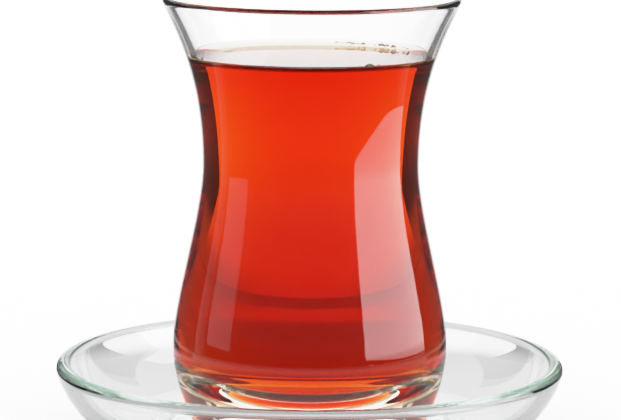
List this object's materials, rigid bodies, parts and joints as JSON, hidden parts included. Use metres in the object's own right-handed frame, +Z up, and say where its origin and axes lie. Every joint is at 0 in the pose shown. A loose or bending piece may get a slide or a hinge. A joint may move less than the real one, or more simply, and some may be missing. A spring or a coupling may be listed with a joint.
{
  "type": "turkish tea glass",
  "caption": "Waisted, flared clear tea glass filled with red-brown tea, standing on a round clear glass saucer with a rolled rim.",
  "frame": {"origin": "middle of the saucer's foot, on the surface that it stands on", "axes": "+Z up along the axis that the saucer and the glass share; X and Y are any two level directions, since every piece is turned about Z"},
  "size_m": [0.1052, 0.1052, 0.0935],
  "materials": {
    "saucer_glass": "smooth clear pressed glass",
    "clear_glass": "smooth clear glass",
    "black_tea": "clear red-brown liquid"
  },
  "bodies": {
    "root": {"saucer": "saucer_glass", "tea_glass": "clear_glass", "tea": "black_tea"}
  },
  "joints": []
}
